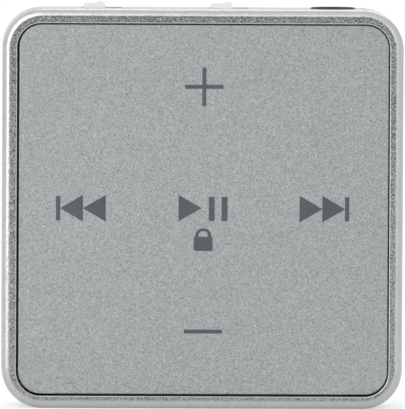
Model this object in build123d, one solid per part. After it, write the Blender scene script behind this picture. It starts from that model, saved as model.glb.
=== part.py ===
"""Pocket digital audio player: a square clip-on player whose whole face is one rocking key.

Frame: X right, Y towards the back, Z up, origin under the middle of the player, in mm.
Depths are measured backwards from the housing's front plane, and y = FRONT + depth.
"""
from build123d import *
import os

# ---- Outside
WIDTH = 40.1
HEIGHT = 39.95
FRONT = -7.55
MID = HEIGHT / 2
CORNER_R = 4.0
FRONT_EDGE_R = 0.85
REAR_EDGE_R = 1.5
WALL = 0.9
LIP = 0.7
SEAM = 9.0
SEAM_BEVEL = 0.12
BACK = 10.6

# ---- Key: one floating face, hung on a two-axis cross that sits on a pressable carrier
OPENING = 37.28
OPENING_R = 2.42
OPENING_X = 0.03
OPENING_Z = 19.9
PLATE = 37.0
PLATE_R = 2.3
PLATE_FRONT = 0.2
PLATE_BACK = 0.95
FLANGE = 37.75
FLANGE_FRONT = 1.6
FLANGE_BACK = 2.0
INK = 0.02
KEY_X = OPENING_X + 0.05
KEY_Z = OPENING_Z + 0.04
PIVOT = 2.9
PIN_R = 0.40
PIN_HOLE_R = 0.44
PIN_REACH = 5.2
SWITCH_REACH = 13.5
POST_END = 4.74
NUB_END = 4.90

# ---- Inner frame and board
FRAME_FRONT = 3.3
FRAME_BACK = 4.1
WINDOW = 13.8
STAKE_X = 17.9
STAKE_DZ = 6.0
BOARD = 5.25
BOARD_BACK = 6.05
DOME_R = 2.1
DOME_RISE = 0.33
DOME_SHEET = 0.08

# ---- Fasteners
BOSS_X = 17.0
BOSS_DZ = 16.7
BOSS_R = 1.45
CASE_SCREW_R = 0.68
CASE_HEAD_R = 1.1
BOARD_SCREWS = [(-16.2, 8.0), (-16.2, 23.4), (16.2, 17.0)]
BOARD_SCREW_R = 0.5

# ---- Top edge controls and the headphone jack
POWER_X = -10.87
MODE_X = 1.9
SLIDE_TRAVEL = 1.5
SLIDE_DEPTH = 6.75
JACK_X = 13.1
JACK_DEPTH = 5.95
JACK_HALF = 2.4
JACK_BORE_R = 1.8
JACK_MOUTH_R = 2.0
JACK_PLUG_LENGTH = 13.5
JACK_TOP = HEIGHT + 0.14
JACK_BORE_TOP = HEIGHT - 0.95
JACK_BODY_TOP = HEIGHT - 1.2
JACK_BODY_BOTTOM = JACK_BODY_TOP - 12.6

# ---- Charging and data socket in the right wall
USB_Z = 9.2
USB_DEPTH = 6.05
USB_HEIGHT = 2.4
USB_HALF = 3.7
USB_MOUTH = 19.8
USB_BACK = 14.6
USB_SHEET = 0.25

# ---- Battery
CELL_X = (-14.0, 11.5)
CELL_Z = (2.2, 21.2)
CELL_DEPTH = (6.15, 9.15)
LEAD_R = 0.3

# ---- Clip on the back
HINGE_DEPTH = 12.1
HINGE_Z = 29.5
CLIP_PIN_R = 0.75
CLIP_BORE_R = 0.79
CLIP_HALF = 9.0
CLIP_INNER = 13.8
CLIP_OUTER = 15.1
CLIP_TOP = 37.3
CLIP_BOTTOM = 4.2
JAW_TIP = 10.65
SPRING_WIRE_R = 0.2
SPRING_MEAN_R = 1.2
SPRING_PITCH = 0.5
SPRING_TURNS = 4.5
SPRING_LEG = 4.5


# ---- Helpers

def box(x_range, depth_range, z_range):
    """A box given by its range on each axis, with the depth measured from the front plane."""
    size_x = x_range[1] - x_range[0]
    size_y = depth_range[1] - depth_range[0]
    size_z = z_range[1] - z_range[0]
    middle = Pos(x_range[0] + size_x / 2, FRONT + depth_range[0] + size_y / 2, z_range[0] + size_z / 2)
    return middle * Box(size_x, size_y, size_z)


def face_plane(depth, x=0.0, z=0.0):
    """A plane seen as the front is seen: local x is right and local y is up."""
    return Plane(origin=(x, FRONT + depth, z), x_dir=(1, 0, 0), z_dir=(0, -1, 0))


def push_back(sketch, start, end):
    """Extrudes a sketch drawn on the front view from one depth to another."""
    return extrude(face_plane(start) * sketch, amount=end - start, dir=(0, 1, 0))


def slab(width, height, radius, start, end, x=0.0, z=MID):
    """A plate with rounded corners, parallel to the face."""
    return push_back(Pos(x, z) * RectangleRounded(width, height, radius), start, end)


def side_profile(points, x_range):
    """Extrudes a (depth, z) outline across a range of x."""
    shifted = [(FRONT + depth, z) for depth, z in points]
    plane = Plane(origin=(x_range[0], 0, 0), x_dir=(0, 1, 0), z_dir=(1, 0, 0))
    return extrude(plane * Polygon(*shifted, align=None), amount=x_range[1] - x_range[0], dir=(1, 0, 0))


def rod(radius, start, end):
    """A round rod between two (x, depth, z) points."""
    first = Vector(start[0], FRONT + start[1], start[2])
    last = Vector(end[0], FRONT + end[1], end[2])
    span = last - first
    return Solid.make_cylinder(radius, span.length, Plane(origin=first, z_dir=span))


def switch_spots():
    """The four outer key positions: up, down, left and right of the middle."""
    spots = []
    for sign in (1, -1):
        spots.append((KEY_X, KEY_Z + sign * SWITCH_REACH))
        spots.append((KEY_X + sign * SWITCH_REACH, KEY_Z))
    return spots


def boss_spots():
    """The four case screw positions, near the corners."""
    return [(sx * BOSS_X, MID + sz * BOSS_DZ) for sx in (-1, 1) for sz in (-1, 1)]


def stake_spots():
    """The four places where the inner frame is staked to the side walls."""
    return [(sx * STAKE_X, MID + sz * STAKE_DZ) for sx in (-1, 1) for sz in (-1, 1)]


# ---- Housing

def corner_boss(x, z):
    """A screw boss webbed into a corner of the housing."""
    side = 1 if x > 0 else -1
    level = 1 if z > MID else -1
    x_range = sorted((x, side * WIDTH / 2))
    z_range = sorted((z, MID + level * HEIGHT / 2))
    web = box(x_range, (4.2, 8.9), z_range)
    inside = slab(WIDTH - WALL, HEIGHT - WALL, CORNER_R - WALL / 2, 0, SEAM)
    boss = rod(BOSS_R, (x, 4.2, z), (x, 8.9, z)) + (web & inside)
    return boss - rod(CASE_SCREW_R + 0.02, (x, 5.0, z), (x, SEAM, z))


def stake(x, z):
    """A ledge on the side wall with a headed plastic pin that holds the inner frame."""
    side = 1 if x > 0 else -1
    wall = side * (WIDTH / 2 - WALL / 2)
    ledge = box(sorted((x - side * 0.9, wall)), (2.95, FRAME_FRONT), (z - 1.2, z + 1.2))
    pin = rod(0.6, (x, FRAME_FRONT - 0.1, z), (x, FRAME_BACK + 0.1, z))
    head = rod(0.9, (x, FRAME_BACK, z), (x, FRAME_BACK + 0.3, z))
    return ledge + pin + head


def front_housing():
    shell = slab(WIDTH, HEIGHT, CORNER_R, 0, SEAM)
    shell = fillet(shell.faces().sort_by(Axis.Y)[0].edges(), FRONT_EDGE_R)
    shell = chamfer(shell.faces().sort_by(Axis.Y)[-1].edges(), SEAM_BEVEL)
    shell -= slab(WIDTH - 2 * WALL, HEIGHT - 2 * WALL, CORNER_R - WALL, LIP, SEAM)
    shell -= slab(OPENING, OPENING, OPENING_R, -0.1, LIP, OPENING_X, OPENING_Z)
    inner_edge = shell.faces().sort_by(Axis.Y)[0].inner_wires()[0].edges()
    shell = fillet(inner_edge, 0.12)
    for x, z in boss_spots():
        shell += corner_boss(x, z)
    for x, z in stake_spots():
        shell += stake(x, z)
    for knob in (POWER_X, MODE_X):
        slot_x = (knob - 1.25, knob + 1.25 + SLIDE_TRAVEL)
        shell -= box(slot_x, (SLIDE_DEPTH - 1.0, SLIDE_DEPTH + 1.0), (HEIGHT - 1.5, HEIGHT + 0.5))
    shell -= rod(2.35, (JACK_X, JACK_DEPTH, HEIGHT - 1.5), (JACK_X, JACK_DEPTH, HEIGHT + 0.5))
    usb_hole = side_profile(usb_outline(-0.2), (WIDTH / 2 - 1.5, WIDTH / 2 + 0.5))
    return shell - usb_hole


# ---- Rear cover and its screws

def cover_lip():
    """Four straight ribs on the rear cover that locate it inside the housing walls."""
    edge_x = WIDTH / 2 - WALL - 0.05
    edge_z = HEIGHT / 2 - WALL - 0.05
    depth = (8.3, 9.2)
    left = box((-edge_x, -edge_x + 0.8), depth, (6.5, HEIGHT - 6.5))
    right = box((edge_x - 0.8, edge_x), depth, (14.5, HEIGHT - 6.5))
    bottom = box((-13.5, 13.5), depth, (MID - edge_z, MID - edge_z + 0.8))
    top = box((-13.5, 9.0), depth, (MID + edge_z - 0.8, MID + edge_z))
    return left + right + bottom + top


def hinge_lug(x_range):
    """An upright ear on the rear cover that carries one end of the clip pin."""
    foot = box(x_range, (BACK - 0.3, HINGE_DEPTH), (HINGE_Z - 1.5, HINGE_Z + 1.5))
    eye = rod(1.5, (x_range[0], HINGE_DEPTH, HINGE_Z), (x_range[1], HINGE_DEPTH, HINGE_Z))
    return foot + eye


def rear_cover():
    cover = slab(WIDTH, HEIGHT, CORNER_R, SEAM, BACK)
    cover = fillet(cover.faces().sort_by(Axis.Y)[-1].edges(), REAR_EDGE_R)
    cover = chamfer(cover.faces().sort_by(Axis.Y)[0].edges(), SEAM_BEVEL / 2)
    cover -= slab(WIDTH - 3.2, HEIGHT - 3.2, CORNER_R - 1.6, SEAM, SEAM + 0.5)
    cover += cover_lip()
    for x, z in boss_spots():
        cover += rod(BOSS_R, (x, SEAM, z), (x, SEAM + 0.6, z))
    for x, z in boss_spots():
        cover -= rod(0.8, (x, SEAM - 0.5, z), (x, BACK + 0.1, z))
        cover -= rod(CASE_HEAD_R + 0.1, (x, BACK - 0.75, z), (x, BACK + 0.1, z))
    for x_range in ((-8.3, -6.5), (6.5, 8.3)):
        cover += hinge_lug(x_range)
    return cover - rod(CLIP_PIN_R + 0.01, (-9, HINGE_DEPTH, HINGE_Z), (9, HINGE_DEPTH, HINGE_Z))


def case_screws():
    """Four cross-head screws that hold the rear cover to the housing bosses."""
    screws = []
    for x, z in boss_spots():
        screw = rod(CASE_SCREW_R, (x, 5.4, z), (x, BACK - 0.4, z))
        screw += rod(CASE_HEAD_R, (x, BACK - 0.72, z), (x, BACK - 0.08, z))
        screw -= box((x - 0.75, x + 0.75), (BACK - 0.4, BACK), (z - 0.14, z + 0.14))
        screw -= box((x - 0.14, x + 0.14), (BACK - 0.4, BACK), (z - 0.75, z + 0.75))
        screws.append(screw)
    return Compound(children=screws)


# ---- Key

def face_plate():
    plate = slab(PLATE, PLATE, PLATE_R, PLATE_FRONT, PLATE_BACK, KEY_X, KEY_Z)
    return fillet(plate.faces().sort_by(Axis.Y)[0].edges(), 0.15)


def skip_symbol(side, middle):
    """Two arrowheads and a bar, pointing left for side -1 and right for side 1."""
    rise = 0.1
    shapes = []
    for start in (middle - side * 2.48, middle - side * 0.2):
        corners = [(start, rise - 1.34), (start, rise + 1.34), (start + side * 2.29, rise)]
        shapes.append(Polygon(*corners, align=None))
    shapes.append(Pos(middle + side * 2.28, rise) * Rectangle(0.43, 2.43))
    return shapes


def padlock_symbol():
    """A small closed padlock: a rounded body and a round-topped shackle."""
    body = RectangleRounded(1.89, 1.42, 0.2)
    outer = Pos(0, 0.75) * RectangleRounded(1.6, 1.6, 0.75)
    inner = Pos(0, 0.73) * RectangleRounded(0.93, 1.1, 0.4)
    return (outer - inner) + body


def printed_symbols():
    """Dark printed marks: louder, quieter, back, next, play or pause, and lock."""
    marks = [Pos(0.02, 12.3) * (Rectangle(3.85, 0.4) + Rectangle(0.4, 3.85))]
    marks.append(Pos(0, -12.2) * RectangleRounded(3.85, 0.39, 0.08))
    marks += skip_symbol(-1, -12.26)
    marks += skip_symbol(1, 12.09)
    marks.append(Polygon((-2.49, -1.15), (-2.49, 1.46), (-0.17, 0.155), align=None))
    for bar in (0.82, 2.10):
        marks.append(Pos(bar, 0.08) * Rectangle(0.59, 2.42))
    marks.append(Pos(-0.02, -3.42) * padlock_symbol())
    solids = []
    for mark in marks:
        placed = Pos(KEY_X, KEY_Z) * mark
        solids += push_back(placed, PLATE_FRONT - INK, PLATE_FRONT).solids()
    return Compound(children=solids)


def key_base():
    """The plastic carrier under the metal face, with its stop flange, posts and bearings."""
    base = slab(PLATE - 0.4, PLATE - 0.4, PLATE_R - 0.2, PLATE_BACK, FLANGE_FRONT, KEY_X, KEY_Z)
    base += slab(FLANGE, FLANGE, 6.0, FLANGE_FRONT, FLANGE_BACK, KEY_X, KEY_Z)
    for x, z in switch_spots():
        base += rod(1.2, (x, 1.8, z), (x, POST_END, z))
    for side in (-1, 1):
        z_range = sorted((KEY_Z + side * 3.2, KEY_Z + side * PIN_REACH))
        base += box((KEY_X - 0.9, KEY_X + 0.9), (1.9, 3.75), z_range)
    return base - rod(PIN_HOLE_R, (KEY_X, PIVOT, KEY_Z - 6), (KEY_X, PIVOT, KEY_Z + 6))


def rocker_cross():
    """The cross between the carrier and the key: one pin axis along X, one along Z."""
    cross = box((KEY_X - 2.2, KEY_X + 2.2), (PIVOT - 0.6, PIVOT + 0.6), (KEY_Z - 2.2, KEY_Z + 2.2))
    cross = fillet(cross.edges().filter_by(Axis.Y), 0.6)
    cross += rod(PIN_R, (KEY_X - PIN_REACH, PIVOT, KEY_Z), (KEY_X + PIN_REACH, PIVOT, KEY_Z))
    return cross + rod(PIN_R, (KEY_X, PIVOT, KEY_Z - PIN_REACH), (KEY_X, PIVOT, KEY_Z + PIN_REACH))


def press_carrier():
    """The pressable block: guide ring, rear flange, bearings for the cross, and a nub."""
    carrier = slab(WINDOW - 0.2, WINDOW - 0.2, 0.8, 3.4, 4.3, KEY_X, KEY_Z)
    carrier -= slab(WINDOW - 1.8, WINDOW - 1.8, 0.4, 3.4, 4.3, KEY_X, KEY_Z)
    carrier += slab(16.0, 16.0, 1.2, FRAME_BACK + 0.02, 4.7, KEY_X, KEY_Z)
    for side in (-1, 1):
        x_range = sorted((KEY_X + side * 3.2, KEY_X + side * PIN_REACH))
        carrier += box(x_range, (PIVOT - 0.65, 4.3), (KEY_Z - 0.9, KEY_Z + 0.9))
    carrier += rod(0.8, (KEY_X, 4.6, KEY_Z), (KEY_X, NUB_END, KEY_Z))
    return carrier - rod(PIN_HOLE_R, (KEY_X - 6, PIVOT, KEY_Z), (KEY_X + 6, PIVOT, KEY_Z))


def metal_domes():
    """Five snap domes on the board: one behind each key position and one in the middle."""
    sphere_r = (DOME_R ** 2 + DOME_RISE ** 2) / (2 * DOME_RISE)
    domes = []
    for x, z in [(KEY_X, KEY_Z)] + switch_spots():
        centre = Pos(x, FRONT + BOARD - DOME_RISE + sphere_r, z)
        cap = centre * Sphere(sphere_r) - centre * Sphere(sphere_r - DOME_SHEET)
        domes.append(cap & box((x - 3, x + 3), (BOARD - 1, BOARD), (z - 3, z + 3)))
    return Compound(children=[dome.solid() for dome in domes])


# ---- Inner frame and board

def corner_notches(depth):
    """Four corner blocks that clear the screw bosses."""
    inner_x = BOSS_X - BOSS_R - 0.3
    inner_z = BOSS_DZ - BOSS_R - 0.3
    notches = []
    for side in (-1, 1):
        for level in (-1, 1):
            x_range = sorted((side * inner_x, side * 21))
            z_range = sorted((MID + level * inner_z, MID + level * 21))
            notches.append(box(x_range, depth, z_range))
    return notches


def inner_frame():
    """A flat plastic frame that guides the key carrier and holds the board."""
    frame = slab(37.8, 37.6, 2.6, FRAME_FRONT, FRAME_BACK)
    frame -= slab(WINDOW, WINDOW, 0.9, FRAME_FRONT, FRAME_BACK, KEY_X, KEY_Z)
    for x, z in switch_spots():
        frame -= rod(1.8, (x, FRAME_FRONT - 0.1, z), (x, FRAME_BACK + 0.1, z))
    frame -= corner_notches((FRAME_FRONT - 0.1, FRAME_BACK + 0.1))
    jack_x = (JACK_X - JACK_HALF - 0.3, JACK_X + JACK_HALF + 0.3)
    frame -= box(jack_x, (FRAME_FRONT - 0.1, FRAME_BACK + 0.1), (JACK_BODY_BOTTOM - 0.3, HEIGHT))
    for x, z in stake_spots():
        frame -= rod(0.65, (x, FRAME_FRONT - 0.1, z), (x, FRAME_BACK + 0.1, z))
    for x, z in BOARD_SCREWS:
        frame += rod(1.3, (x, FRAME_BACK - 0.1, z), (x, BOARD, z))
        frame -= rod(BOARD_SCREW_R + 0.01, (x, FRAME_FRONT - 0.1, z), (x, BOARD + 0.1, z))
    return frame


def main_board():
    board = box((-18.3, 18.3), (BOARD, BOARD_BACK), (1.6, HEIGHT - 2.6))
    board -= corner_notches((BOARD - 0.1, BOARD_BACK + 0.1))
    jack_x = (JACK_X - JACK_HALF - 0.1, JACK_X + JACK_HALF + 0.1)
    board -= box(jack_x, (BOARD - 0.1, BOARD_BACK + 0.1), (JACK_BODY_BOTTOM - 0.2, HEIGHT))
    for x, z in BOARD_SCREWS:
        board -= rod(0.6, (x, BOARD - 0.1, z), (x, BOARD_BACK + 0.1, z))
    return board


def board_screws():
    """Three small screws that hold the board to the inner frame."""
    screws = []
    for x, z in BOARD_SCREWS:
        screw = rod(BOARD_SCREW_R, (x, FRAME_FRONT + 0.2, z), (x, BOARD_BACK + 0.1, z))
        screw += rod(1.0, (x, BOARD_BACK, z), (x, BOARD_BACK + 0.45, z))
        screw -= box((x - 0.6, x + 0.6), (BOARD_BACK + 0.2, BOARD_BACK + 0.5), (z - 0.12, z + 0.12))
        screws.append(screw)
    return Compound(children=screws)


def chip(x, z, size_x, size_z, thickness, edge):
    """A packaged part soldered on the back of the board."""
    depth = (BOARD_BACK, BOARD_BACK + thickness)
    body = box((x - size_x / 2, x + size_x / 2), depth, (z - size_z / 2, z + size_z / 2))
    return chamfer(body.faces().sort_by(Axis.Y)[-1].edges(), edge)


def passive_parts():
    """Small resistors and capacitors on the back of the board."""
    parts = []
    for column in range(6):
        parts.append(chip(-3.6 + 1.8 * column, 22.1, 1.0, 0.5, 0.5, 0.05))
    for row in range(5):
        parts.append(chip(-7.0, 25.0 + 1.6 * row, 0.5, 1.0, 0.5, 0.05))
    for row in range(3):
        parts.append(chip(17.3, 24.0 + 3.0 * row, 0.8, 1.6, 0.8, 0.08))
    return Compound(children=parts)


# ---- Slide switches

def switch_body(knob):
    """A slide switch on the board's top edge, centred on its knob's travel."""
    middle = knob + SLIDE_TRAVEL / 2
    top = HEIGHT - 2.7
    depth = (BOARD_BACK, BOARD_BACK + 1.4)
    body = box((middle - 3.3, middle + 3.3), depth, (top - 2.6, top))
    slot_x = (knob - 0.55, knob + 0.55 + SLIDE_TRAVEL)
    return body - box(slot_x, (SLIDE_DEPTH - 0.5, SLIDE_DEPTH + 0.5), (top - 0.5, top + 0.1))


def switch_lever(knob):
    """The moving lever of a slide switch, standing out of its slot."""
    bottom = HEIGHT - 3.15
    return box((knob - 0.45, knob + 0.45), (SLIDE_DEPTH - 0.4, SLIDE_DEPTH + 0.4), (bottom, HEIGHT - 1.85))


def slider(knob):
    """A sliding button: stepped cap above the top wall, cover flange and fork below it."""
    cap = [(-1.12, -1.2), (-1.12, 0.08), (-1.02, 0.37), (-0.88, 0.47), (0.3, 0.47)]
    cap += [(0.38, 0.58), (0.93, 0.58), (1.08, 0.42), (1.12, 0.08), (1.12, -1.2)]
    outline = Pos(knob, HEIGHT) * Polygon(*cap, align=None)
    body = push_back(outline, SLIDE_DEPTH - 0.9, SLIDE_DEPTH + 0.9)
    body = fillet(body.edges().filter_by(Axis.Y).group_by(Axis.Z)[-1], 0.1)
    flange_z = (HEIGHT - WALL - 0.65, HEIGHT - WALL - 0.05)
    body += box((knob - 2.85, knob + 2.85), (SLIDE_DEPTH - 1.2, SLIDE_DEPTH + 1.2), flange_z)
    for side in (-1, 1):
        prong_x = sorted((knob + side * 0.5, knob + side * 0.95))
        prong_z = (HEIGHT - 2.4, HEIGHT - WALL - 0.5)
        body += box(prong_x, (SLIDE_DEPTH - 0.5, SLIDE_DEPTH + 0.5), prong_z)
    return body


# ---- Headphone jack

def jack_windows():
    """Places of the three contacts, as (side, bottom, top)."""
    return [(-1, 34.0, 36.0), (1, 31.5, 33.5), (-1, 28.8, 30.8)]


def jack_socket():
    body_x = (JACK_X - JACK_HALF, JACK_X + JACK_HALF)
    body = box(body_x, (JACK_DEPTH - 2.5, JACK_DEPTH + 2.5), (JACK_BODY_BOTTOM, JACK_BODY_TOP))
    body = fillet(body.edges().filter_by(Axis.Z), 0.5)
    nose = rod(2.25, (JACK_X, JACK_DEPTH, JACK_BODY_TOP - 0.2), (JACK_X, JACK_DEPTH, JACK_TOP))
    body += fillet(nose.edges().group_by(Axis.Z)[-1], 0.15)
    for side, bottom, top in jack_windows():
        window_x = sorted((JACK_X + side * 1.95, JACK_X + side * (JACK_HALF + 0.1)))
        body -= box(window_x, (JACK_DEPTH - 1.1, JACK_DEPTH + 1.1), (bottom, top))
    floor = JACK_TOP - JACK_PLUG_LENGTH
    body -= rod(JACK_BORE_R, (JACK_X, JACK_DEPTH, floor), (JACK_X, JACK_DEPTH, JACK_BORE_TOP))
    lead_in_height = JACK_TOP - JACK_BORE_TOP
    lead_in = Cone(JACK_BORE_R, JACK_MOUTH_R, lead_in_height)
    lead_in_middle = (JACK_X, FRONT + JACK_DEPTH, JACK_BORE_TOP + lead_in_height / 2)
    return body - Pos(*lead_in_middle) * lead_in


def jack_contacts():
    """Three spring contacts in the side windows, each with a tail soldered to the board."""
    contacts = []
    for side, bottom, top in jack_windows():
        leaf_x = sorted((JACK_X + side * 2.0, JACK_X + side * 2.25))
        leaf = box(leaf_x, (JACK_DEPTH - 0.9, JACK_DEPTH + 0.9), (bottom + 0.1, top - 0.1))
        tail_x = sorted((JACK_X + side * 2.1, JACK_X + side * 4.0))
        tail = box(tail_x, (BOARD_BACK, BOARD_BACK + 0.2), (bottom + 0.6, top - 0.6))
        contacts.append((leaf + tail).solid())
    return Compound(children=contacts)


# ---- Charging and data socket

def usb_outline(inset):
    """The socket's cross-section as (depth, z) points, drawn in by the inset."""
    front = USB_DEPTH + inset
    back = USB_DEPTH + USB_HEIGHT - inset
    wide = USB_HALF - inset
    narrow = USB_HALF - 0.8 - inset * 0.6
    bend = USB_DEPTH + USB_HEIGHT - 0.9
    lower = [(front, USB_Z - wide), (bend, USB_Z - wide), (back, USB_Z - narrow)]
    upper = [(back, USB_Z + narrow), (bend, USB_Z + wide), (front, USB_Z + wide)]
    return lower + upper


def usb_shell():
    shell = side_profile(usb_outline(0), (USB_BACK, USB_MOUTH))
    return shell - side_profile(usb_outline(USB_SHEET), (USB_BACK + 0.4, USB_MOUTH + 0.1))


def usb_tongue():
    """The plastic tongue and its block at the back of the socket."""
    inside = side_profile(usb_outline(USB_SHEET + 0.02), (USB_BACK + 0.42, USB_BACK + 1.2))
    tongue_x = (USB_BACK + 1.0, USB_MOUTH - 0.5)
    tongue_depth = (USB_DEPTH + 0.55, USB_DEPTH + 1.15)
    return inside + box(tongue_x, tongue_depth, (USB_Z - 1.75, USB_Z + 1.75))


def usb_contacts():
    """Five contact strips on the tongue's rear face."""
    strips = []
    for step in range(-2, 3):
        middle = USB_Z + 0.65 * step
        strip_z = (middle - 0.15, middle + 0.15)
        strips.append(box((USB_BACK + 1.3, USB_MOUTH - 0.9), (USB_DEPTH + 1.15, USB_DEPTH + 1.25), strip_z))
    return Compound(children=strips)


# ---- Battery

def battery_cell():
    cell = box(CELL_X, CELL_DEPTH, CELL_Z)
    return fillet(cell.edges(), 0.7)


def battery_tape():
    tape_x = (CELL_X[0] + 3, CELL_X[1] - 3)
    return box(tape_x, (BOARD_BACK, CELL_DEPTH[0]), (CELL_Z[0] + 3, CELL_Z[1] - 3))


def battery_lead(x):
    """A wire from the top of the cell, bent over to a pad on the board."""
    depth = FRONT + 7.5
    top = CELL_Z[1] + 1.6
    corners = [(x, depth, CELL_Z[1]), (x, depth, top), (x, FRONT + BOARD_BACK, top)]
    path = FilletPolyline(*corners, radius=0.7)
    return sweep(Plane(origin=path @ 0, z_dir=path % 0) * Circle(LEAD_R), path=path)


# ---- Clip

def clip_ear(x_range):
    """An ear under the clip plate that turns on the pin."""
    foot = box(x_range, (HINGE_DEPTH, CLIP_INNER + 0.2), (HINGE_Z - 1.35, HINGE_Z + 1.35))
    eye = rod(1.35, (x_range[0], HINGE_DEPTH, HINGE_Z), (x_range[1], HINGE_DEPTH, HINGE_Z))
    return foot + eye


def clip_lever():
    outline = [(CLIP_INNER, CLIP_TOP), (CLIP_OUTER, CLIP_TOP), (CLIP_OUTER, CLIP_BOTTOM)]
    outline += [(JAW_TIP, CLIP_BOTTOM), (JAW_TIP, 5.2), (11.6, 6.2), (CLIP_INNER, 6.2)]
    clip = side_profile(outline, (-CLIP_HALF, CLIP_HALF))
    long_edges = clip.edges().filter_by(Axis.X)
    outer_bend = long_edges.group_by(Axis.Z)[0].sort_by(Axis.Y)[-1]
    clip = fillet(outer_bend, 2.6)
    inner_bend = [e for e in clip.edges().filter_by(Axis.X) if abs(e.center().Z - 6.2) < 0.01]
    clip = fillet(sorted(inner_bend, key=lambda e: e.center().Y)[-1], 1.3)
    height = CLIP_TOP - CLIP_BOTTOM
    clip &= slab(2 * CLIP_HALF, height, 3.0, JAW_TIP - 1, CLIP_OUTER, 0, CLIP_BOTTOM + height / 2)
    clip = fillet(clip.faces().sort_by(Axis.Y)[-1].edges(), 0.4)
    for row in range(4):
        groove_z = 31.6 + 1.3 * row
        clip -= box((-6.0, 6.0), (CLIP_OUTER - 0.3, CLIP_OUTER + 0.1), (groove_z - 0.3, groove_z + 0.3))
    for x_range in ((-6.3, -4.6), (4.6, 6.3)):
        clip += clip_ear(x_range)
    return clip - rod(CLIP_BORE_R, (-7, HINGE_DEPTH, HINGE_Z), (7, HINGE_DEPTH, HINGE_Z))


def clip_pin():
    return rod(CLIP_PIN_R, (-8.3, HINGE_DEPTH, HINGE_Z), (8.3, HINGE_DEPTH, HINGE_Z))


def clip_spring():
    """A torsion spring round the pin; both legs point up, one on the cover, one on the clip."""
    length = SPRING_PITCH * SPRING_TURNS
    start = Plane(origin=(-length / 2, FRONT + HINGE_DEPTH, HINGE_Z), x_dir=(0, -1, 0), z_dir=(1, 0, 0))
    coil = start.location * Edge.make_helix(SPRING_PITCH, length, SPRING_MEAN_R)
    cover_end = coil @ 0 - (coil % 0) * SPRING_LEG
    clip_end = coil @ 1 + (coil % 1) * SPRING_LEG
    path = Wire([Edge.make_line(cover_end, coil @ 0), coil, Edge.make_line(coil @ 1, clip_end)])
    section = Plane(origin=path @ 0, z_dir=path % 0) * Circle(SPRING_WIRE_R)
    return sweep(section, path=path)


# ---- Write every piece

def pieces():
    """Every node of the player by name."""
    return {
        "front_housing": front_housing(),
        "rear_cover": rear_cover(),
        "case_screws": case_screws(),
        "face_plate": face_plate(),
        "printed_symbols": printed_symbols(),
        "key_base": key_base(),
        "rocker_cross": rocker_cross(),
        "press_carrier": press_carrier(),
        "metal_domes": metal_domes(),
        "inner_frame": inner_frame(),
        "main_board": main_board(),
        "board_screws": board_screws(),
        "audio_processor": chip(-12.2, 28.8, 8.0, 8.0, 0.9, 0.1),
        "flash_memory": chip(1.4, 28.2, 14.0, 10.0, 0.9, 0.1),
        "crystal": chip(-12.2, 22.9, 3.2, 1.5, 0.8, 0.15),
        "charger_ic": chip(13.3, 15.8, 2.4, 2.4, 0.8, 0.1),
        "passive_parts": passive_parts(),
        "power_switch": switch_body(POWER_X),
        "mode_switch": switch_body(MODE_X),
        "power_switch_lever": switch_lever(POWER_X),
        "mode_switch_lever": switch_lever(MODE_X),
        "power_slider": slider(POWER_X),
        "mode_slider": slider(MODE_X),
        "jack_socket": jack_socket(),
        "jack_contacts": jack_contacts(),
        "usb_shell": usb_shell(),
        "usb_tongue": usb_tongue(),
        "usb_contacts": usb_contacts(),
        "battery_cell": battery_cell(),
        "battery_tape": battery_tape(),
        "battery_lead_red": battery_lead(-9.4),
        "battery_lead_black": battery_lead(-8.2),
        "clip_lever": clip_lever(),
        "clip_pin": clip_pin(),
        "clip_spring": clip_spring(),
    }


os.makedirs("parts", exist_ok=True)
for name, shape in pieces().items():
    export_step(shape, f"parts/{name}.step")
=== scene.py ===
import math

import bpy
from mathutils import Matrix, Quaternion, Vector

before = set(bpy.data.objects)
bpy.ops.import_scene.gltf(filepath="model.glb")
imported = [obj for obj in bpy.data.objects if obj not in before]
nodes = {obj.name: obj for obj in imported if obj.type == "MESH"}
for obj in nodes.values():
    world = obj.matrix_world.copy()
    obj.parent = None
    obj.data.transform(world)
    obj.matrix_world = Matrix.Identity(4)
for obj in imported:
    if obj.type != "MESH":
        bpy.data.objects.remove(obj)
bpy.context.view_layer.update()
scene = bpy.context.scene
scene.view_settings.view_transform = "Standard"

MM = 0.001
WHITE = (1.0, 1.0, 1.0, 1.0)

# Camera: a long lens, a little above and to the left of straight on.
# Angles are in degrees and lengths in metres, except that the sensor is in millimetres.
CAMERA_AZIMUTH = -1.35
CAMERA_ELEVATION = 2.52
CAMERA_ROLL = 0.295
CAMERA_DISTANCE = 1.2
CAMERA_SENSOR = 36.0
FIELD_WIDTH = 40.9 * MM
AIM = Vector((-0.00003, -0.0075, 0.02047))

# World: how bright the tent is, from straight behind the player (0) to behind the camera (1).
TENT_LEVELS = [
    (0.0, 0.9), (0.5, 1.0), (0.82, 1.0), (0.90, 0.85),
    (0.94, 0.35), (0.97, 0.08), (1.0, 0.05),
]
TENT_TINT = (0.985, 1.0, 1.005)
TENT_STRENGTH = 0.88
WALL_STRENGTH = 1.0

# Lights: name, azimuth, elevation, distance, width, height and power. They all face LIGHT_TARGET.
SOFTBOXES = [
    ("left_key", -48, 18, 0.28, 0.16, 0.26, 0.23),
    ("upper_key", -35, 45, 0.24, 0.16, 0.14, 0.07),
    ("right_fill", 30, 8, 0.8, 0.30, 0.55, 0.45),
    ("front_top", 0, 37, 0.8, 0.6, 0.30, 0.38),
    ("rear_light", 165, 40, 0.9, 0.5, 0.3, 0.7),
]
LIGHT_TARGET = Vector((0, 0, 0.02))

# Floor: it ends well short of the camera and glows more to the camera than to reflections.
FLOOR_REACH = 1.1
FLOOR_FRONT = -0.35
FLOOR_GREYS = [(0.3, (0.53, 0.53, 0.53)), (0.7, (0.56, 0.56, 0.56))]
FLOOR_GLOW_REFLECTED = 0.26
FLOOR_GLOW_SEEN = 0.5

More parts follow.
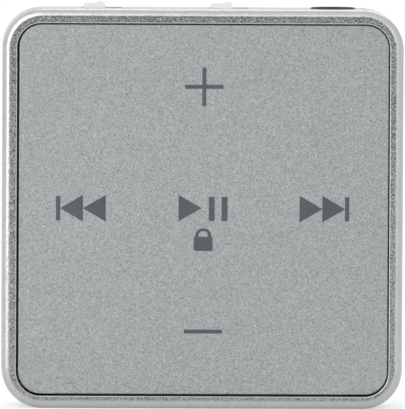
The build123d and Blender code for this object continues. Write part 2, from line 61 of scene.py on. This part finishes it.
# Metal textures: sizes in metres, and factors on the metal's own colour at each level; the forward flake
# tones also carry painted shade.
FLAKE_SIZE = 0.085 * MM
# The flake tones average darker than the rolled tones: painted shade on the forward-facing band, with
# random flake tone on top.
FLAKE_SHADE_TONES = [(0.0, 0.48), (0.4, 0.74), (0.75, 0.94), (1.0, 1.26)]
FLAKE_LEAN = 0.32
ROLLED_TONES = [(0.3, 0.96), (0.7, 1.03)]
ROLLED_LEAN = 0.12
FLAKE_SHADE_STARTS_AT = -0.985  # the Y of the surface's normal
FLAKE_SHADE_FULL_AT = -0.999
PIT_SIZE = 0.085 * MM
GRAIN_SIZE = 0.13 * MM
PIT_SHARE = 0.55
GRAIN_TONES = [(0.22, 0.60), (0.5, 1.0), (0.78, 1.40)]
MOULDED_TONES = [(0.3, 0.88), (0.55, 1.0), (0.8, 1.12)]
BRUSHED_TONES = [(0.3, 0.82), (0.7, 1.1)]

# Noise scales, in cells per metre
FLOOR_MOTTLE = 60.0
LACQUER_MOTTLE = 900.0
LACQUER_WAVE = 350.0
ANODISED_CLOUD = 140.0
MOULDED_CLOUD = 220.0
BRUSHED_LINE = 800.0
MASK_CLOUD = 400.0
TRACE = 600.0

# Plain colours
SILVER = (0.58, 0.585, 0.585)
ALUMINIUM = (0.475, 0.501, 0.503)
COVER_SILVER = (0.42, 0.425, 0.43)
NICKEL = (0.60, 0.60, 0.61)
SHELL_STEEL = (0.64, 0.64, 0.65)
DOME_STEEL = (0.72, 0.70, 0.66)
SPRING_STEEL = (0.45, 0.45, 0.46)
FOIL = (0.66, 0.67, 0.69)
GOLD = (0.83, 0.62, 0.27)
BLACK = (0.03, 0.03, 0.032)
JACK_BLACK = (0.02, 0.02, 0.022)
EPOXY = (0.028, 0.028, 0.03)
KEY_GREY = (0.11, 0.11, 0.115)
INK = (0.088, 0.096, 0.106)
KNOB_WHITE = (0.97, 0.97, 0.98)
ACETAL = (0.78, 0.78, 0.74)
TAPE = (0.78, 0.75, 0.6)
CERAMIC = (0.40, 0.29, 0.17)
RED = (0.45, 0.02, 0.02)
MASK_GREENS = ((0.012, 0.11, 0.045, 1), (0.016, 0.15, 0.06, 1))
TRACE_GREEN = (0.03, 0.22, 0.10, 1)


# ---- Camera, world, lights and floor

def direction(azimuth, elevation):
    """Unit vector from the player, for angles in degrees: 0, 0 is straight in front."""
    azimuth, elevation = math.radians(azimuth), math.radians(elevation)
    return Vector((
        math.sin(azimuth) * math.cos(elevation),
        -math.cos(azimuth) * math.cos(elevation),
        math.sin(elevation),
    ))


def make_camera():
    data = bpy.data.cameras.new("camera")
    data.sensor_width = CAMERA_SENSOR
    data.lens = CAMERA_SENSOR * CAMERA_DISTANCE / FIELD_WIDTH
    data.clip_start = 0.01
    data.clip_end = 50.0
    camera = bpy.data.objects.new("camera", data)
    scene.collection.objects.link(camera)
    back = direction(CAMERA_AZIMUTH, CAMERA_ELEVATION)
    camera.location = AIM + back * CAMERA_DISTANCE
    camera.rotation_mode = "QUATERNION"
    level = (-back).to_track_quat("-Z", "Y")
    camera.rotation_quaternion = level @ Quaternion((0, 0, 1), math.radians(CAMERA_ROLL))
    scene.camera = camera


def make_world():
    """A pale studio tent in reflections and a plain white wall to the camera."""
    world = bpy.data.worlds.new("studio")
    scene.world = world
    world.use_nodes = True
    tree = world.node_tree
    tree.nodes.clear()
    out = tree.nodes.new("ShaderNodeOutputWorld")
    compass = tree.nodes.new("ShaderNodeTexCoord")
    split = tree.nodes.new("ShaderNodeSeparateXYZ")
    tree.links.new(compass.outputs["Generated"], split.inputs[0])
    facing = tree.nodes.new("ShaderNodeMapRange")
    facing.inputs["From Min"].default_value = 1.0
    facing.inputs["From Max"].default_value = -1.0
    tree.links.new(split.outputs["Y"], facing.inputs["Value"])
    stops = [(spot, [level * channel for channel in TENT_TINT]) for spot, level in TENT_LEVELS]
    tent = tree.nodes.new("ShaderNodeBackground")
    tree.links.new(levels(tree, facing.outputs["Result"], stops, "B_SPLINE"), tent.inputs["Color"])
    tent.inputs["Strength"].default_value = TENT_STRENGTH
    wall = tree.nodes.new("ShaderNodeBackground")
    wall.inputs["Color"].default_value = WHITE
    wall.inputs["Strength"].default_value = WALL_STRENGTH
    choose = tree.nodes.new("ShaderNodeMixShader")
    tree.links.new(camera_ray(tree), choose.inputs["Fac"])
    tree.links.new(tent.outputs[0], choose.inputs[1])
    tree.links.new(wall.outputs[0], choose.inputs[2])
    tree.links.new(choose.outputs[0], out.inputs["Surface"])


def softbox(name, azimuth, elevation, distance, width, height, watts):
    """A rectangular light that the camera doesn't see, facing the player."""
    data = bpy.data.lights.new(name, "AREA")
    data.shape = "RECTANGLE"
    data.size = width
    data.size_y = height
    data.energy = watts
    light = bpy.data.objects.new(name, data)
    scene.collection.objects.link(light)
    back = direction(azimuth, elevation)
    light.location = LIGHT_TARGET + back * distance
    light.rotation_mode = "QUATERNION"
    light.rotation_quaternion = (-back).to_track_quat("-Z", "Y")
    light.visible_camera = False


def make_floor():
    mesh = bpy.data.meshes.new("floor")
    corners = [
        (-FLOOR_REACH, FLOOR_FRONT, 0), (FLOOR_REACH, FLOOR_FRONT, 0),
        (FLOOR_REACH, FLOOR_REACH, 0), (-FLOOR_REACH, FLOOR_REACH, 0),
    ]
    mesh.from_pydata(corners, [], [(0, 1, 2, 3)])
    floor = bpy.data.objects.new("floor", mesh)
    scene.collection.objects.link(floor)
    mat, tree, shader = new_material("floor_paper")
    shader.inputs["Roughness"].default_value = 0.7
    shader.inputs["Specular IOR Level"].default_value = 0.2
    shader.inputs["Emission Color"].default_value = WHITE
    glow = spread(tree, camera_ray(tree), FLOOR_GLOW_REFLECTED, FLOOR_GLOW_SEEN)
    tree.links.new(glow, shader.inputs["Emission Strength"])
    colour = levels(tree, noise(tree, FLOOR_MOTTLE, 3), FLOOR_GREYS)
    tree.links.new(colour, shader.inputs["Base Color"])
    mesh.materials.append(mat)


# ---- Node helpers

def new_material(name):
    mat = bpy.data.materials.new(name)
    mat.use_nodes = True
    tree = mat.node_tree
    tree.nodes.clear()
    out = tree.nodes.new("ShaderNodeOutputMaterial")
    shader = tree.nodes.new("ShaderNodeBsdfPrincipled")
    tree.links.new(shader.outputs["BSDF"], out.inputs["Surface"])
    return mat, tree, shader


def camera_ray(tree):
    """1 for what the camera sees directly, 0 for light and reflections."""
    return tree.nodes.new("ShaderNodeLightPath").outputs["Is Camera Ray"]


def place(tree):
    """Object coordinates, in metres."""
    for node in tree.nodes:
        if node.bl_idname == "ShaderNodeTexCoord":
            return node.outputs["Object"]
    return tree.nodes.new("ShaderNodeTexCoord").outputs["Object"]


def stretch(tree, scale):
    """Object coordinates scaled by a different amount along each axis."""
    node = tree.nodes.new("ShaderNodeMapping")
    node.inputs["Scale"].default_value = scale
    tree.links.new(place(tree), node.inputs["Vector"])
    return node.outputs["Vector"]


def noise(tree, scale, detail, vector=None):
    node = tree.nodes.new("ShaderNodeTexNoise")
    node.inputs["Scale"].default_value = scale
    node.inputs["Detail"].default_value = detail
    tree.links.new(vector or place(tree), node.inputs["Vector"])
    return node.outputs["Fac"]


def cells(tree, scale):
    """One random colour for each Voronoi cell."""
    node = tree.nodes.new("ShaderNodeTexVoronoi")
    node.inputs["Scale"].default_value = scale
    tree.links.new(place(tree), node.inputs["Vector"])
    return node.outputs["Color"]


def levels(tree, value, stops, interpolation="LINEAR"):
    """A colour that follows a value through (position, colour) stops."""
    node = tree.nodes.new("ShaderNodeValToRGB")
    node.color_ramp.interpolation = interpolation
    elements = node.color_ramp.elements
    while len(elements) < len(stops):
        elements.new(0.5)
    for element, (spot, colour) in zip(elements, stops):
        element.position = spot
        element.color = (*colour, 1.0)
    tree.links.new(value, node.inputs["Fac"])
    return node.outputs["Color"]


def spread(tree, value, low, high):
    """A value carried from 0..1 to low..high."""
    node = tree.nodes.new("ShaderNodeMapRange")
    node.inputs["To Min"].default_value = low
    node.inputs["To Max"].default_value = high
    tree.links.new(value, node.inputs["Value"])
    return node.outputs["Result"]


def blend(tree, factor, first, second):
    """The first colour where the factor is 0, the second where it is 1."""
    node = tree.nodes.new("ShaderNodeMixRGB")
    tree.links.new(factor, node.inputs["Fac"])
    tree.links.new(first, node.inputs["Color1"])
    tree.links.new(second, node.inputs["Color2"])
    return node.outputs["Color"]


def bump(tree, height, depth, strength, normal=None):
    """A normal roughened by a height, on top of another normal if there is one."""
    node = tree.nodes.new("ShaderNodeBump")
    node.inputs["Distance"].default_value = depth
    node.inputs["Strength"].default_value = strength
    tree.links.new(height, node.inputs["Height"])
    if normal is not None:
        tree.links.new(normal, node.inputs["Normal"])
    return node.outputs["Normal"]


def surface_normal(tree):
    return tree.nodes.new("ShaderNodeNewGeometry").outputs["Normal"]


def vector_maths(tree, operation, vector):
    node = tree.nodes.new("ShaderNodeVectorMath")
    node.operation = operation
    tree.links.new(vector, node.inputs[0])
    return node


def tilt(tree, colour, amount):
    """The surface normal leaned by a random colour, flake by flake, as far as amount says."""
    centre = vector_maths(tree, "SUBTRACT", colour)
    centre.inputs[1].default_value = (0.5, 0.5, 0.5)
    scale = vector_maths(tree, "SCALE", centre.outputs[0])
    tree.links.new(amount, scale.inputs["Scale"])
    add = vector_maths(tree, "ADD", surface_normal(tree))
    tree.links.new(scale.outputs[0], add.inputs[1])
    return vector_maths(tree, "NORMALIZE", add.outputs[0]).outputs[0]


def front_shade_mask(tree):
    """1 where the surface faces straight forward, fading to 0 at 10 degrees of turn; it marks where the
    lacquer gets its flake and its painted shade.
    """
    split = tree.nodes.new("ShaderNodeSeparateXYZ")
    tree.links.new(surface_normal(tree), split.inputs[0])
    node = tree.nodes.new("ShaderNodeMapRange")
    node.inputs["From Min"].default_value = FLAKE_SHADE_STARTS_AT
    node.inputs["From Max"].default_value = FLAKE_SHADE_FULL_AT
    tree.links.new(split.outputs["Y"], node.inputs["Value"])
    return node.outputs["Result"]


def tones(colour, factors):
    """Stops for levels(): the colour made darker or lighter by a factor at each level."""
    return [
        (spot, tuple(min(1.0, channel * factor) for channel in colour))
        for spot, factor in factors
    ]


# ---- Finishes

def flake_lacquer(name, colour):
    """Silver lacquer: coarse metal flake and painted shade (a darker tone) where it faces forward, smooth
    and paler elsewhere.
    """
    mat, tree, shader = new_material(name)
    shader.inputs["Metallic"].default_value = 0.9
    shader.inputs["Coat Weight"].default_value = 0.3
    shader.inputs["Coat Roughness"].default_value = 0.12
    front = front_shade_mask(tree)
    flake = cells(tree, 1 / FLAKE_SIZE)
    mottle = noise(tree, LACQUER_MOTTLE, 3)
    # Forward faces take the darker flake tones, painted shade plus random flake tone; the rolled edges
    # keep the lacquer's own paler tone.
    speckled_and_shaded = levels(tree, flake, tones(colour, FLAKE_SHADE_TONES))
    smooth = levels(tree, mottle, tones(colour, ROLLED_TONES))
    tree.links.new(blend(tree, front, smooth, speckled_and_shaded), shader.inputs["Base Color"])
    tree.links.new(spread(tree, mottle, 0.22, 0.30), shader.inputs["Roughness"])
    leaned = tilt(tree, flake, spread(tree, front, ROLLED_LEAN, FLAKE_LEAN))
    waves = bump(tree, noise(tree, LACQUER_WAVE, 3), 0.02 * MM, 0.5, leaned)
    tree.links.new(waves, shader.inputs["Normal"])
    return mat


def blasted_aluminium(name, colour):
    """Bead-blasted, anodised aluminium: fine even grain and a soft sheen."""
    mat, tree, shader = new_material(name)
    shader.inputs["Metallic"].default_value = 1.0
    fine = noise(tree, 1 / GRAIN_SIZE, 3)
    grain = tree.nodes.new("ShaderNodeMix")
    grain.inputs["Factor"].default_value = PIT_SHARE
    tree.links.new(fine, grain.inputs["A"])
    tree.links.new(cells(tree, 1 / PIT_SIZE), grain.inputs["B"])
    tone = levels(tree, grain.outputs["Result"], tones(colour, GRAIN_TONES))
    tree.links.new(tone, shader.inputs["Base Color"])
    sheen = spread(tree, noise(tree, ANODISED_CLOUD, 2), 0.50, 0.60)
    tree.links.new(sheen, shader.inputs["Roughness"])
    tree.links.new(bump(tree, fine, 0.012 * MM, 0.5), shader.inputs["Normal"])
    return mat


def moulded(name, colour, roughness, grain, depth, metallic=0.0, coat=0.0):
    """Moulded, plated or coated surface, with its grain's size and depth in mm."""
    mat, tree, shader = new_material(name)
    shader.inputs["Metallic"].default_value = metallic
    shader.inputs["Coat Weight"].default_value = coat
    shader.inputs["Coat Roughness"].default_value = 0.08
    cloud = noise(tree, MOULDED_CLOUD, 3)
    tone = levels(tree, cloud, tones(colour, MOULDED_TONES))
    tree.links.new(tone, shader.inputs["Base Color"])
    tree.links.new(spread(tree, cloud, *roughness), shader.inputs["Roughness"])
    fine = noise(tree, 1 / (grain * MM), 4)
    tree.links.new(bump(tree, fine, depth * MM, 0.6), shader.inputs["Normal"])
    return mat


def brushed(name, colour, scale=(1.0, 1.0, 30.0), roughness=(0.22, 0.42)):
    """Bare metal with fine lines across the axis of the largest scale, or even grain if there is none."""
    mat, tree, shader = new_material(name)
    shader.inputs["Metallic"].default_value = 1.0
    lines = noise(tree, BRUSHED_LINE, 4, stretch(tree, scale))
    tone = levels(tree, lines, tones(colour, BRUSHED_TONES))
    tree.links.new(tone, shader.inputs["Base Color"])
    tree.links.new(spread(tree, lines, *roughness), shader.inputs["Roughness"])
    tree.links.new(bump(tree, lines, 0.006 * MM, 0.5), shader.inputs["Normal"])
    return mat


def solder_mask(name):
    """Green board with paler lines for the copper traces under the mask."""
    mat, tree, shader = new_material(name)
    brick = tree.nodes.new("ShaderNodeTexBrick")
    brick.inputs["Scale"].default_value = TRACE
    brick.inputs["Mortar Size"].default_value = 0.03
    brick.inputs["Color1"].default_value, brick.inputs["Color2"].default_value = MASK_GREENS
    brick.inputs["Mortar"].default_value = TRACE_GREEN
    turn = tree.nodes.new("ShaderNodeMapping")
    turn.inputs["Rotation"].default_value = (math.radians(90), 0, 0)
    tree.links.new(place(tree), turn.inputs["Vector"])
    tree.links.new(turn.outputs["Vector"], brick.inputs["Vector"])
    tree.links.new(brick.outputs["Color"], shader.inputs["Base Color"])
    tree.links.new(spread(tree, noise(tree, MASK_CLOUD, 2), 0.22, 0.38), shader.inputs["Roughness"])
    tree.links.new(bump(tree, brick.outputs["Fac"], 0.02 * MM, 0.5), shader.inputs["Normal"])
    return mat


def make_finishes():
    """The finish of every CAD node, by the node's name."""
    lacquer = flake_lacquer("silver_flake_lacquer", SILVER)
    plain_steel = brushed("nickel_steel", NICKEL)
    black_plastic = moulded("black_plastic", BLACK, (0.32, 0.5), 0.15, 0.008)
    key_plastic = moulded("grey_key_plastic", KEY_GREY, (0.4, 0.55), 0.15, 0.008)
    chip_epoxy = moulded("chip_epoxy", EPOXY, (0.55, 0.75), 0.08, 0.012)
    gold = brushed("gold_plate", GOLD, (1.0, 1.0, 12.0), (0.18, 0.3))
    acetal = moulded("natural_acetal", ACETAL, (0.35, 0.5), 0.2, 0.006)
    knob_lacquer = moulded("pale_slider_lacquer", KNOB_WHITE, (0.25, 0.4), 0.1, 0.006, coat=0.3)
    cover_plastic = moulded(
        "silver_cover_plastic", COVER_SILVER, (0.42, 0.58), 0.16, 0.02, metallic=0.55
    )
    return {
        "front_housing": lacquer,
        "clip_lever": lacquer,
        "rear_cover": cover_plastic,
        "case_screws": plain_steel,
        "face_plate": blasted_aluminium("blasted_aluminium", ALUMINIUM),
        "printed_symbols": moulded("dark_grey_ink", INK, (0.45, 0.6), 0.1, 0.004),
        "key_base": key_plastic,
        "rocker_cross": acetal,
        "press_carrier": acetal,
        "metal_domes": brushed("dome_steel", DOME_STEEL, (6.0, 6.0, 6.0)),
        "inner_frame": black_plastic,
        "main_board": solder_mask("green_solder_mask"),
        "board_screws": plain_steel,
        "audio_processor": chip_epoxy,
        "flash_memory": chip_epoxy,
        "charger_ic": chip_epoxy,
        "crystal": plain_steel,
        "passive_parts": moulded("ceramic_chips", CERAMIC, (0.5, 0.7), 0.1, 0.01),
        "power_switch": plain_steel,
        "mode_switch": plain_steel,
        "power_switch_lever": black_plastic,
        "mode_switch_lever": black_plastic,
        "power_slider": knob_lacquer,
        "mode_slider": knob_lacquer,
        "jack_socket": moulded("jack_black", JACK_BLACK, (0.45, 0.6), 0.2, 0.005),
        "jack_contacts": gold,
        "usb_shell": brushed("usb_shell_steel", SHELL_STEEL, (20.0, 1.0, 1.0)),
        "usb_tongue": black_plastic,
        "usb_contacts": gold,
        "battery_cell": brushed("pouch_foil", FOIL, (3.0, 3.0, 3.0), (0.3, 0.45)),
        "battery_tape": moulded("tape", TAPE, (0.7, 0.85), 0.3, 0.02),
        "battery_lead_red": moulded("red_insulation", RED, (0.35, 0.5), 0.2, 0.005),
        "battery_lead_black": moulded("black_insulation", BLACK, (0.35, 0.5), 0.2, 0.005),
        "clip_pin": plain_steel,
        "clip_spring": brushed("spring_steel", SPRING_STEEL, (4.0, 4.0, 4.0), (0.25, 0.4)),
    }


# ---- The scene

make_camera()
make_world()
for box in SOFTBOXES:
    softbox(*box)
make_floor()

finishes = make_finishes()
for name, node in nodes.items():
    node.data.materials.clear()
    node.data.materials.append(finishes[name])
